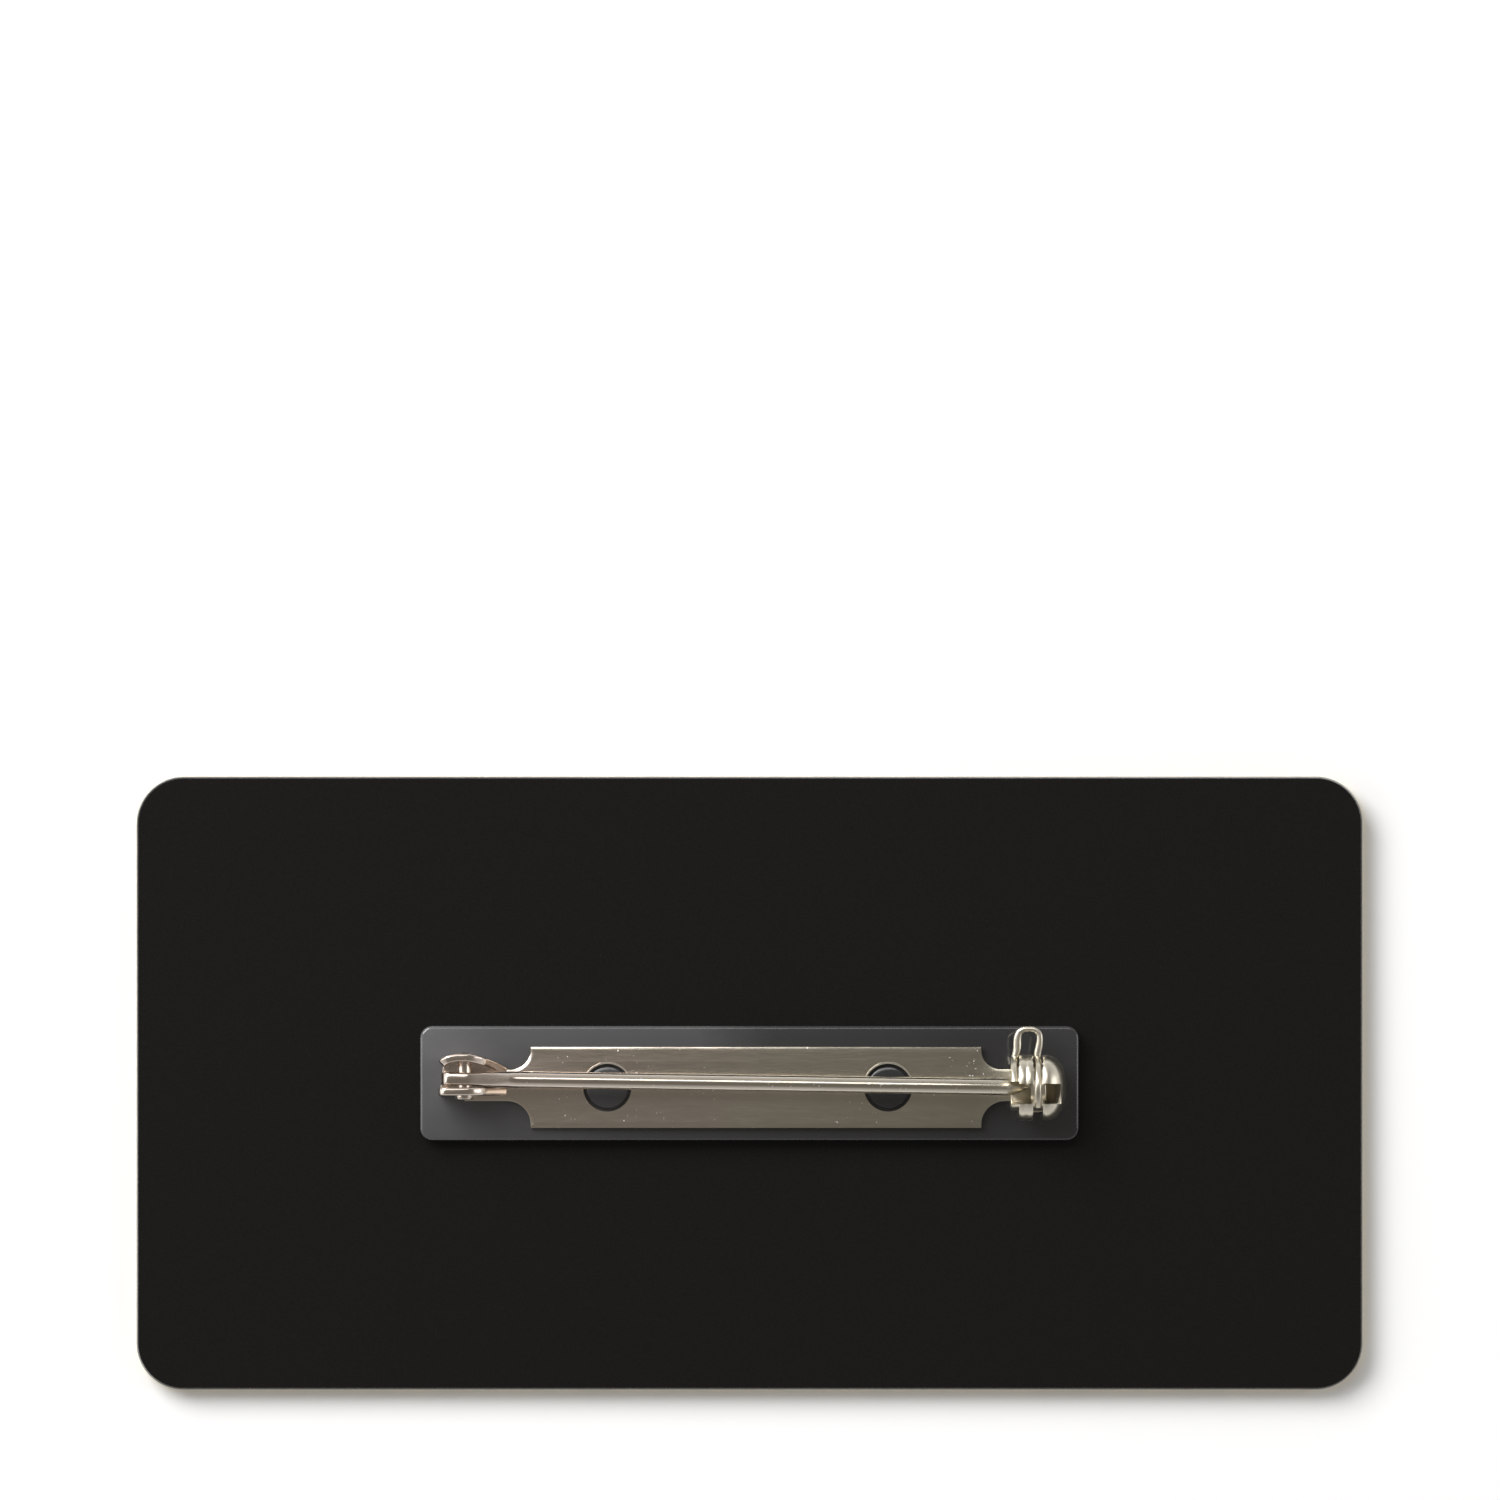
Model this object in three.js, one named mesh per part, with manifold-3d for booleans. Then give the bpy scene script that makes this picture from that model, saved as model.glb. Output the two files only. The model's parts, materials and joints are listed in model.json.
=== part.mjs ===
// Name badge: a brushed metal face on a black backing, with a bar pin on a clear pad behind it.
// Millimetres. The badge lies on its face at z = 0, so the pin faces +Z. The pin's catch is
// toward +X and the badge's top edge is toward +Y.

import * as THREE from 'three';
import { mergeVertices } from 'three/addons/utils/BufferGeometryUtils.js';
import Module from 'manifold-3d';

const wasm = await Module();
wasm.setup();

// Face and backing
const PLATE_LENGTH = 76.2;
const PLATE_HEIGHT = 38.1;
const PLATE_CORNER = 2.9;
const FACE_THICKNESS = 0.5;
const BACK_THICKNESS = 1.1;
const BACK_INSET = 0.1;

// Clear pad under the pin
const PAD_LENGTH = 40.9;
const PAD_WIDTH = 7.1;
const PAD_CORNER = 0.75;
const PAD_THICKNESS = 1.5;
const STUD_WALL = 0.2;
const STUD_DOME = 0.2;
const STUD_GAP = 0.2;

// Stamped bar
const SHEET = 0.5;
const BAR_X = 0.4;
const BAR_Y = -0.26;
const BAR_LENGTH = 28;
const BAR_WIDTH = 5.05;
const CORNER_LIP = 0.2;
const NECK_WIDTH = 2;
const NECK_SHIFT = 0.14;
const HOLE_RADIUS = 1.5;
const HOLE_SPACING = 17.44;
const HOLE_SHIFT = -0.51;

// Hinge
const HINGE_REACH = 4.1;
const HINGE_SHIFT = 0.54;
const EAR_RADIUS = 1.6;
const EAR_CORNER = 0.5;
const EAR_TAIL = 2.6;
const EAR_BULGE = 0.45;
const RIVET_RADIUS = 0.42;
const RIVET_HEAD = 0.62;
const HEAD_HEIGHT = 0.2;
const RIVET_GAP = 0.06;

// Needle
const NEEDLE_RADIUS = 0.5;
const EYE_THICKNESS = 0.8;
const EYE_TAIL = 3;
const EYE_GAP = 0.13;
const EYE_LIFT = 0.1;
const POINT_LENGTH = 1.6;
const TIP_REACH = 1.1;
const TIP_SHIFT = -0.07;
const TIP_GAP = 0.15;

// Catch housing
const CATCH_REACH = 1.82;
const BARREL_RADIUS = 2.05;
const BAND_LENGTH = 0.86;
const DOME_LENGTH = 1.43;
const DOME_WALL = 0.35;
const SLOT_GAP = 0.175;
const SLOT_SHIFT = -0.32;
const SLOT_RIM = 0.3;

// Turning ring in the catch
const RING_GAP = 0.12;
const RING_WALL = 0.4;
const RING_TAIL = 0.2;
const COLLAR_LENGTH = 0.42;
const COLLAR_GAP = 0.1;
const COLLAR_STEP = 0.1;
const COLLAR_SWEEP = 40;
const LEVER_REACH = 3.86;
const LEVER_BAR = 0.43;
const LEVER_THICKNESS = 0.5;
const LEVER_CORNER = 0.4;
const LOCK_GAP_EXTRA = 0.12;

// Fineness of the round shapes
const CORNER_STEPS = 8;
const ROUND_STEPS = 40;
const WIRE_STEPS = 16;
const EAR_STEPS = 12;
const DOME_STEPS = 7;
const MERGE_DISTANCE = 1e-5;

// Levels and places in the pin's own frame: the middle of the bar, on the pad's top
const backTop = FACE_THICKNESS + BACK_THICKNESS;
const padTop = backTop + PAD_THICKNESS;
const axisHeight = BARREL_RADIUS;
const hingeX = -BAR_LENGTH / 2 - HINGE_REACH;
const catchX = BAR_LENGTH / 2 + CATCH_REACH;
const bandX = catchX + COLLAR_LENGTH + COLLAR_GAP;
const slitX = bandX + BAND_LENGTH;
const domeX = slitX + COLLAR_LENGTH + 2 * COLLAR_GAP;
const slotHalf = NEEDLE_RADIUS + SLOT_GAP;
const boreRadius = BARREL_RADIUS - SHEET;
const ringRadius = boreRadius - RING_GAP;
const eyeRadius = axisHeight - SHEET - EYE_LIFT;
const earInside = EYE_THICKNESS / 2 + EYE_GAP;
const holePlaces = [HOLE_SHIFT - HOLE_SPACING / 2, HOLE_SHIFT + HOLE_SPACING / 2];

const degrees = THREE.MathUtils.degToRad;

// A closed solid from a geometry. A lathe has triangles without area on its axis; they are dropped.
function solidOf(geometry) {
  const bare = geometry.clone();
  bare.deleteAttribute('normal');
  bare.deleteAttribute('uv');
  const merged = mergeVertices(bare, MERGE_DISTANCE);
  const index = merged.index.array;
  const triangles = [];
  for (let i = 0; i < index.length; i += 3) {
    const [a, b, c] = index.slice(i, i + 3);
    if (a !== b && b !== c && c !== a) {
      triangles.push(a, b, c);
    }
  }
  return new wasm.Manifold(new wasm.Mesh({
    numProp: 3,
    vertProperties: new Float32Array(merged.attributes.position.array),
    triVerts: new Uint32Array(triangles),
  }));
}

function geometryOf(solid) {
  const mesh = solid.getMesh();
  const geometry = new THREE.BufferGeometry();
  geometry.setAttribute('position', new THREE.BufferAttribute(mesh.vertProperties, 3));
  geometry.setIndex(new THREE.BufferAttribute(mesh.triVerts, 1));
  geometry.computeVertexNormals();
  return geometry;
}

function join(...solids) {
  return solids.reduce((whole, piece) => whole.add(piece));
}

// An outline in plan, raised from z0 to z1
function raised(shape, z0, z1, steps = ROUND_STEPS) {
  const settings = { depth: z1 - z0, bevelEnabled: false, curveSegments: steps };
  return new THREE.ExtrudeGeometry(shape, settings).translate(0, 0, z0);
}

// A side outline in x and z, carried across from y0 to y1
function acrossY(shape, y0, y1, steps = ROUND_STEPS) {
  return raised(shape, 0, y1 - y0, steps).rotateX(Math.PI / 2).translate(0, y1, 0);
}

// An end outline in y and z, carried along from x0 to x1
function alongX(shape, x0, x1) {
  const turn = new THREE.Matrix4().makeBasis(
    new THREE.Vector3(0, 1, 0),
    new THREE.Vector3(0, 0, 1),
    new THREE.Vector3(1, 0, 0),
  );
  return raised(shape, 0, x1 - x0).applyMatrix4(turn).translate(x0, 0, 0);
}

// A round shape about the X axis, from a profile of [radius, place along x]
function turnedX(profile, steps = ROUND_STEPS) {
  const points = profile.map(([radius, place]) => new THREE.Vector2(radius, place));
  return new THREE.LatheGeometry(points, steps).rotateZ(-Math.PI / 2);
}

// The same about the Y axis
function turnedY(profile, steps = ROUND_STEPS) {
  const points = profile.map(([radius, place]) => new THREE.Vector2(radius, place));
  return new THREE.LatheGeometry(points, steps);
}

function block([x0, x1], [y0, y1], [z0, z1]) {
  const geometry = new THREE.BoxGeometry(x1 - x0, y1 - y0, z1 - z0);
  return geometry.translate((x0 + x1) / 2, (y0 + y1) / 2, (z0 + z1) / 2);
}

function roundedRectangle(length, height, radius) {
  const x = length / 2 - radius;
  const y = height / 2 - radius;
  const shape = new THREE.Shape();
  shape.absarc(x, -y, radius, -Math.PI / 2, 0);
  shape.absarc(x, y, radius, 0, Math.PI / 2);
  shape.absarc(-x, y, radius, Math.PI / 2, Math.PI);
  shape.absarc(-x, -y, radius, Math.PI, 1.5 * Math.PI);
  shape.closePath();
  return shape;
}

// The light metal face that carries the name
function facePlate() {
  const outline = roundedRectangle(PLATE_LENGTH, PLATE_HEIGHT, PLATE_CORNER);
  return raised(outline, 0, FACE_THICKNESS, CORNER_STEPS);
}

// The black backing, inset from the face all round
function backPlate() {
  const length = PLATE_LENGTH - 2 * BACK_INSET;
  const height = PLATE_HEIGHT - 2 * BACK_INSET;
  const outline = roundedRectangle(length, height, PLATE_CORNER - BACK_INSET);
  return raised(outline, FACE_THICKNESS, backTop, CORNER_STEPS);
}

// The pad, with a low domed stud in each of the bar's holes. Its top is at z = 0.
function pad() {
  const outline = roundedRectangle(PAD_LENGTH, PAD_WIDTH, PAD_CORNER);
  const slab = solidOf(raised(outline, -PAD_THICKNESS, 0, CORNER_STEPS));
  const radius = HOLE_RADIUS - STUD_GAP;
  const studs = holePlaces.map((place) => {
    const profile = [
      [0, -PAD_THICKNESS / 2],
      [radius, -PAD_THICKNESS / 2],
      [radius, STUD_WALL],
      [radius * 0.75, STUD_WALL + STUD_DOME * 0.7],
      [0, STUD_WALL + STUD_DOME],
    ];
    const stud = turnedY(profile).rotateX(Math.PI / 2).translate(place + BAR_X, BAR_Y, 0);
    return solidOf(stud);
  });
  return geometryOf(join(slab, ...studs));
}

// The flat part of the bar in plan: its body runs into a neck at each end with a
// quarter-round, and each neck ends under the hinge or the catch.
function barOutline() {
  const half = BAR_LENGTH / 2;
  const top = BAR_WIDTH / 2;
  const neckTop = NECK_SHIFT + NECK_WIDTH / 2;
  const neckBottom = NECK_SHIFT - NECK_WIDTH / 2;
  const upper = top - neckTop - CORNER_LIP;
  const lower = top + neckBottom - CORNER_LIP;
  const shape = new THREE.Shape();
  shape.moveTo(-half, top);
  shape.absarc(-half - upper, neckTop + upper, upper, 0, -Math.PI / 2, true);
  shape.lineTo(hingeX, neckTop);
  shape.lineTo(hingeX, neckBottom);
  shape.absarc(-half - lower, neckBottom - lower, lower, Math.PI / 2, 0, true);
  shape.lineTo(-half, -top);
  shape.lineTo(half, -top);
  shape.absarc(half + lower, neckBottom - lower, lower, Math.PI, Math.PI / 2, true);
  shape.lineTo(domeX + DOME_WALL, neckBottom);
  shape.lineTo(domeX + DOME_WALL, neckTop);
  shape.absarc(half + upper, neckTop + upper, upper, -Math.PI / 2, -Math.PI, true);
  shape.lineTo(half, top);
  shape.closePath();
  for (const place of holePlaces) {
    const hole = new THREE.Path();
    hole.absarc(place, 0, HOLE_RADIUS, 0, 2 * Math.PI, true);
    shape.holes.push(hole);
  }
  return shape;
}

// The hinge: a floor between two ears. The ear on +Y bulges outward in plan. Both have the
// same side outline: a small round corner at the end, a flat top, a large round corner about
// the rivet and a straight slope to the neck.
function hinge() {
  const left = hingeX - EAR_RADIUS;
  const right = hingeX + EAR_TAIL;
  const low = HINGE_SHIFT - earInside - SHEET;
  const high = HINGE_SHIFT + earInside + SHEET;
  const halfChord = (right - left) / 2;
  const bulgeRadius = (halfChord ** 2 + EAR_BULGE ** 2) / (2 * EAR_BULGE);
  const halfAngle = Math.asin(halfChord / bulgeRadius);
  const centre = [left + halfChord, high + EAR_BULGE - bulgeRadius];
  const [from, to] = [Math.PI / 2 - halfAngle, Math.PI / 2 + halfAngle];
  const top = axisHeight + EAR_RADIUS;

  const floor = new THREE.Shape();
  floor.moveTo(left, low);
  floor.lineTo(right, low);
  floor.absarc(...centre, bulgeRadius, from, to);
  floor.closePath();

  const bulge = new THREE.Shape();
  bulge.absarc(...centre, bulgeRadius, from, to);
  bulge.absarc(...centre, bulgeRadius - SHEET, to, from, true);
  bulge.closePath();

  const drop = SHEET - axisHeight;
  const slope = Math.atan2(drop, EAR_TAIL) + Math.acos(EAR_RADIUS / Math.hypot(EAR_TAIL, drop));
  const side = new THREE.Shape();
  side.moveTo(left, 0);
  side.lineTo(right, 0);
  side.lineTo(right, SHEET);
  side.absarc(hingeX, axisHeight, EAR_RADIUS, slope, Math.PI / 2);
  side.absarc(left + EAR_CORNER, top - EAR_CORNER, EAR_CORNER, Math.PI / 2, Math.PI);
  side.closePath();

  const plainEar = solidOf(acrossY(side, low, low + SHEET, EAR_STEPS));
  const sideCut = solidOf(acrossY(side, low, high + EAR_BULGE + SHEET, EAR_STEPS));
  const bulgedEar = solidOf(raised(bulge, 0, top + SHEET)).intersect(sideCut);
  const hole = rivetHole(low - SHEET, high + EAR_BULGE + SHEET).translate(hingeX, 0, axisHeight);
  const ears = plainEar.add(bulgedEar).subtract(solidOf(hole));
  return ears.add(solidOf(raised(floor, 0, SHEET)));
}

function rivetHole(y0, y1) {
  const radius = RIVET_RADIUS + RIVET_GAP;
  return turnedY([[0, y0], [radius, y0], [radius, y1], [0, y1]]);
}

// The rolled catch housing about the catch axis: a band, a slit for the ring's collar and
// a hollow dome, with a slot along the top that lets the needle out.
function catchHousing() {
  const innerLength = DOME_LENGTH - DOME_WALL;
  const outside = [];
  const inside = [];
  for (let step = 0; step <= DOME_STEPS; step += 1) {
    const angle = (step / DOME_STEPS) * Math.PI / 2;
    const radial = step < DOME_STEPS ? Math.cos(angle) : 0;
    outside.push([BARREL_RADIUS * radial, domeX + DOME_LENGTH * Math.sin(angle)]);
    inside.unshift([boreRadius * radial, domeX + innerLength * Math.sin(angle)]);
  }
  const profile = [[boreRadius, bandX], [BARREL_RADIUS, bandX], ...outside, ...inside, [boreRadius, bandX]];
  const shell = solidOf(turnedX(profile).translate(0, 0, axisHeight));
  const across = [-BARREL_RADIUS - SHEET, BARREL_RADIUS + SHEET];
  const above = axisHeight + BARREL_RADIUS + SHEET;
  const slit = block([slitX, domeX], across, [SHEET, above]);
  const slotEnd = domeX + DOME_LENGTH - SLOT_RIM;
  const slotSides = [SLOT_SHIFT - slotHalf, SLOT_SHIFT + slotHalf];
  const slot = block([catchX, slotEnd], slotSides, [axisHeight, above]);
  return shell.subtract(solidOf(slit)).subtract(solidOf(slot));
}

// The stamped sheet: bar, necks, hinge and catch housing are one piece
function pinBar() {
  const bar = solidOf(raised(barOutline(), 0, SHEET));
  return geometryOf(join(bar, hinge(), catchHousing()));
}

// The hinge's rivet about its own axis: headed outside the plain ear, flush in the bulged one
function rivet() {
  const low = HINGE_SHIFT - earInside - SHEET - RIVET_GAP;
  const high = HINGE_SHIFT + earInside + SHEET + EAR_BULGE;
  return turnedY([
    [0, low - HEAD_HEIGHT],
    [RIVET_HEAD, low - HEAD_HEIGHT],
    [RIVET_HEAD, low],
    [RIVET_RADIUS, low],
    [RIVET_RADIUS, high],
    [0, high],
  ]);
}

// The needle about its hinge: a flat eye that narrows into a round wire with a point.
// The wire runs a little toward -Y, to the middle of the catch.
function needle() {
  const tip = [catchX + TIP_REACH - hingeX, TIP_SHIFT - HINGE_SHIFT];
  const length = Math.hypot(...tip);
  const wireStart = EYE_TAIL * 0.6;
  const wire = turnedX([
    [0, wireStart],
    [NEEDLE_RADIUS * 0.7, wireStart],
    [NEEDLE_RADIUS, EYE_TAIL],
    [NEEDLE_RADIUS, length - POINT_LENGTH],
    [NEEDLE_RADIUS * 0.6, length - POINT_LENGTH * 0.45],
    [0, length],
  ], WIRE_STEPS);
  wire.rotateZ(Math.atan2(tip[1], tip[0]));

  const reach = Math.hypot(EYE_TAIL, NEEDLE_RADIUS);
  const slope = Math.atan2(NEEDLE_RADIUS, EYE_TAIL) + Math.acos(eyeRadius / reach);
  const side = new THREE.Shape();
  side.moveTo(EYE_TAIL, -NEEDLE_RADIUS);
  side.lineTo(EYE_TAIL, NEEDLE_RADIUS);
  side.absarc(0, 0, eyeRadius, slope, 2 * Math.PI - slope);
  side.closePath();
  const eye = solidOf(acrossY(side, -EYE_THICKNESS / 2, EYE_THICKNESS / 2));
  const hole = solidOf(rivetHole(-EYE_THICKNESS, EYE_THICKNESS));
  return geometryOf(eye.add(solidOf(wire)).subtract(hole));
}

// The turning ring about the catch axis: a tube with two collars, one at each side of the
// housing's band, which carry the loop-shaped lever. The gap lets the needle in and out; it
// ends just past the needle's tip, and the tube is whole beyond it.
function catchLock() {
  const inside = ringRadius - RING_WALL;
  const end = domeX + RING_TAIL;
  const tube = solidOf(turnedX([
    [inside, catchX],
    [ringRadius, catchX],
    [ringRadius, end],
    [inside, end],
    [inside, catchX],
  ]));

  const middle = ringRadius - RING_WALL / 2;
  const rim = BARREL_RADIUS - COLLAR_STEP;
  const sweep = degrees(COLLAR_SWEEP);
  const collar = (lastAngle, start) => {
    const sector = new THREE.Shape();
    sector.absarc(0, 0, rim, -sweep, lastAngle);
    sector.absarc(0, 0, middle, lastAngle, -sweep, true);
    sector.closePath();
    return solidOf(alongX(sector, start, start + COLLAR_LENGTH));
  };
  const leverEnd = domeX - COLLAR_GAP;
  const nearCollar = collar(Math.PI / 2, catchX);
  const farCollar = collar(Math.PI / 2 + sweep, leverEnd - COLLAR_LENGTH);

  const loop = new THREE.Shape();
  loop.moveTo(catchX, middle);
  loop.lineTo(catchX + COLLAR_LENGTH, middle);
  loop.lineTo(catchX + COLLAR_LENGTH, LEVER_REACH - LEVER_BAR);
  loop.lineTo(leverEnd - COLLAR_LENGTH, LEVER_REACH - LEVER_BAR);
  loop.lineTo(leverEnd - COLLAR_LENGTH, middle);
  loop.lineTo(leverEnd, middle);
  loop.absarc(leverEnd - LEVER_CORNER, LEVER_REACH - LEVER_CORNER, LEVER_CORNER, 0, Math.PI / 2);
  loop.absarc(catchX + LEVER_CORNER, LEVER_REACH - LEVER_CORNER, LEVER_CORNER, Math.PI / 2, Math.PI);
  loop.closePath();
  const lever = solidOf(raised(loop, -LEVER_THICKNESS / 2, LEVER_THICKNESS / 2, CORNER_STEPS));

  const gapHalf = slotHalf + LOCK_GAP_EXTRA;
  const gapSides = [SLOT_SHIFT - gapHalf, SLOT_SHIFT + gapHalf];
  const gapEnd = catchX + TIP_REACH + TIP_GAP;
  const gap = block([catchX - SHEET, gapEnd], gapSides, [0, BARREL_RADIUS + SHEET]);
  return geometryOf(join(tube, nearCollar, farCollar, lever).subtract(solidOf(gap)));
}

const goldMetal = { color: 0xd9bd74, roughness: 0.38, metalness: 1 };
const blackPlastic = { color: 0x1c1b19, roughness: 0.5, metalness: 0 };
const clearPlastic = { color: 0x4b4a4d, roughness: 0.12, metalness: 0, transparent: true, opacity: 0.6 };
const nickel = { color: 0xb9b4a6, roughness: 0.2, metalness: 1 };

function piece(name, geometry, finish, place = [0, 0, 0]) {
  const mesh = new THREE.Mesh(geometry, new THREE.MeshStandardMaterial(finish));
  mesh.name = name;
  mesh.position.set(...place);
  return mesh;
}

const pin = new THREE.Group();
pin.position.set(BAR_X, BAR_Y, padTop);
pin.add(
  piece('pin_bar', pinBar(), nickel),
  piece('rivet', rivet(), nickel, [hingeX, 0, axisHeight]),
  piece('needle', needle(), nickel, [hingeX, HINGE_SHIFT, axisHeight]),
  piece('catch_lock', catchLock(), nickel, [0, 0, axisHeight]),
);

const badge = new THREE.Group();
badge.add(
  piece('face_plate', facePlate(), goldMetal),
  piece('back_plate', backPlate(), blackPlastic),
  piece('pad', pad(), clearPlastic, [0, 0, padTop]),
  pin,
);

export default badge;
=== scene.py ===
import json
import math

import bmesh
import bpy
from mathutils import Matrix, Vector


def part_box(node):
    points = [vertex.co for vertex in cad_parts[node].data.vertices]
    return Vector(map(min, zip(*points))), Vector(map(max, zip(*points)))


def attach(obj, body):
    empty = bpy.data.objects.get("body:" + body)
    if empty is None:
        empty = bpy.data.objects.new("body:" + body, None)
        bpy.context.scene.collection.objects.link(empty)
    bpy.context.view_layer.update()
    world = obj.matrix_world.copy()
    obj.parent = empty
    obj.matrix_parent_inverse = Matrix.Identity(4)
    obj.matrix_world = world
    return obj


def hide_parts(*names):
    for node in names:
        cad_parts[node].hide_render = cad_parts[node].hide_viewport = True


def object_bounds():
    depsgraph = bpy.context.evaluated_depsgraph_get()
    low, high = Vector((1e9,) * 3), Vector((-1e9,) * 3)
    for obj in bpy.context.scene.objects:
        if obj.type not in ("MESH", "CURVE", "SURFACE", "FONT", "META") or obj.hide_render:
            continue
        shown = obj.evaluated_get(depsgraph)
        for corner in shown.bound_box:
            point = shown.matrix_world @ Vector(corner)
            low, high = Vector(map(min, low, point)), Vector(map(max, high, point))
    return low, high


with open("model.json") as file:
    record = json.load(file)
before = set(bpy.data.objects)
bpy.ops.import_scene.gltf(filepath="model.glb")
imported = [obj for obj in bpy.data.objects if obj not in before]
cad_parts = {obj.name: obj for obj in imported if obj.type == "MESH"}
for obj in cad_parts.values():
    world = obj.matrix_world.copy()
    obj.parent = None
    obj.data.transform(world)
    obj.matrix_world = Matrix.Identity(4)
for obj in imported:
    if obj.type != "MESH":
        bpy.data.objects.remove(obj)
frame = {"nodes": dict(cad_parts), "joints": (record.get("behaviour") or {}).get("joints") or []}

cad_low, cad_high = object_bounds()

MM = 0.001

# The photograph's frame, in its own pixels, and the badge's place in it
FRAME_PIXELS = 1500
PLATE_PIXELS = 1226
BADGE_CENTRE_PIXELS = (749.5, 1083)

# Lens and sensor in millimetres. The lens is long, because the photograph shows no parallax.
LENS = 1500
SENSOR = 36

# Sizes from here to the plates' edges are in millimetres and degrees

# The bar, its rolled edges, and the burr on its holes
SHEET = 0.5
BAR_X = 0.4
BAR_LENGTH = 28
BAR_WIDTH = 5.05
BAR_EDGE = 0.24
BAR_ROUNDING = 0.035
EDGE_DROP = 0.038
EDGE_TILT = 0.0011
EDGE_POWER = 1.3
CORNER_LIP = 0.2
NECK_WIDTH = 2
NECK_SHIFT = 0.14
HOLE_RADIUS = 1.5
HOLE_SPACING = 17.44
HOLE_SHIFT = -0.51
LIP_RADIUS = 0.06
LIP_END = 0.005
LIP_POWER = 0.3
LIP_OFFSET = 0.03
LIP_SINK = 0.01
LIP_SWEEP = (12, 168)

# The hinge's ears and the floor between them. EAR_START_HALF, EAR_START_EDGE and EAR_LEAST are shares.
EAR_RADIUS = 1.6
EAR_CORNER = 0.5
EAR_TAIL = 2.6
EAR_EDGE = 0.14
EAR_FOOT = 0.1
EAR_LEAD = 0.05
EAR_START_HALF = 0.36
EAR_START_EDGE = 0.7
EAR_LEAST = 0.8
HINGE_FLOOR_INSET = 0.08
HINGE_FLOOR_LAP = 0.1
HINGE_FLOOR_SINK = 0.02
HINGE_FLOOR_EDGE = 0.05
HINGE_FLOOR_SKIP = 6

# The bulged ear's outer side, from the ears' left end and from the badge's middle line
BULGE_DEPTH = 1.84
BULGE_END = 1.0
BULGE = [(0.17, 1.44), (0.45, 1.68), (1.0, BULGE_DEPTH), (1.9, BULGE_DEPTH), (2.9, 1.58), (3.6, 1.29)]

# The rivet. HEAD_EDGE gives places in from the head's side and top, RIVET_EDGE shares of the radius
# and places in from the end.
RIVET_RADIUS = 0.42
RIVET_GAP = 0.06
RIVET_RISE = 0.08
RIVET_EDGE = [(1, 0.07), (0.85, 0.03), (0.5, 0)]
RIVET_HEAD = 0.56
HEAD_HEIGHT = 0.25
HEAD_GAP = 0.01
HEAD_EDGE = [(0.12, 0), (0.04, 0.03), (0, 0.1)]

# The needle's eye and wire, with the eye's squarer end along and up from the rivet's axis
EYE_THICKNESS = 0.8
EYE_RADIUS = 1.45
EYE_TAIL = 3
EYE_GAP = 0.13
EYE_POWER = 8
EYE_END = [
    (-1.48, 0.2), (-1.46, 0.5), (-1.40, 0.9), (-1.34, 1.14), (-1.24, 1.31), (-1.08, 1.42),
    (-0.85, EYE_RADIUS), (-0.4, EYE_RADIUS), (0, EYE_RADIUS),
]
SWAGE_START = 0.5
NEEDLE_RADIUS = 0.52
NEEDLE_POWER = 2
WIRE_RINGS = (0.4, 6)
POINT_LENGTH = 1.1
POINT_POWER = 0.62
POINT_CUT = 0.03
POINT_RADIUS = 0.02
TIP_SHIFT = 0.02

# The catch's housing. BARREL_CORE is a share of the bore's radius.
BARREL_RADIUS = 2.05
BARREL_POWER = 2.6
BARREL_CORE = 0.2
BAND_LENGTH = 0.86
BEAD_RISE = 0.035
BEAD_POWER = 0.7
BEAD_GAP = 0.04
DOME_LENGTH = 1.43
DOME_WALL = 0.35
DOME_STEP = 0.06
DOME_POWER = 2.3
SLOT_HALF = 0.62
SLOT_SHIFT = -0.38
SLOT_RIM = 0.3
HOUSING_EDGE = 0.05

# The ring inside it, with its collars and its lever
RING_GAP = 0.12
RING_WALL = 0.4
RING_TAIL = 0.2
RING_EDGE = 0.1
GAP_LENGTH = 1.25
GAP_HALF = 0.76
GAP_EDGE = 0.04
COLLAR_LENGTH = 0.42
COLLAR_GAP = 0.1
COLLAR_STEP = 0.1
COLLAR_EDGE = 0.15
COLLAR_SWEEP = 40
LEVER_THICKNESS = 0.5
LEVER_POWER = 2.8

# The lever's wire: its place from the ring's near end and from the axis, and its width
LEVER_PATH = [
    (0.24, 1.25, 0.46), (0.26, 1.85, 0.46), (0.39, 2.4, 0.52), (0.41, 3.0, 0.52), (0.51, 3.40, 0.46),
    (0.80, 3.61, 0.38), (1.12, 3.63, 0.36), (1.45, 3.60, 0.37), (1.74, 3.38, 0.40), (1.80, 3.0, 0.42),
    (1.75, 2.55, 0.48), (1.66, 2.1, 0.48), (1.67, 1.25, 0.44),
]

# The pad and the studs in the bar's holes. STUD_SHOULDER and STUD_DOME are shares.
PAD_LENGTH = 40.9
PAD_WIDTH = 7.1
PAD_CORNER = 0.75
PAD_EDGE = 0.18
PAD_THICKNESS = 1.5
STUD_RADIUS = 1.3
STUD_HEIGHT = 0.4
STUD_EDGE = 0.1
STUD_SHOULDER = 0.65
STUD_DOME = (0.7, 0.93)

# The rounded edges of the plates
FACE_EDGE = 0.04
BACK_EDGE = 0.05

# How far a cutting tool runs past a piece, and the distances at which points count as one
CUT_PAST = 1
CLOSE = 1e-4
CLOSER = 1e-5
WELD = 1e-3

# Edges turn by more than these angles where they are rounded or sharp, and by less where faces are flat
ROUND_ANGLE = 40
NODE_ROUND_ANGLE = 35
SHARP_ANGLE = 32
FLAT_ANGLE = 0.5

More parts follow.
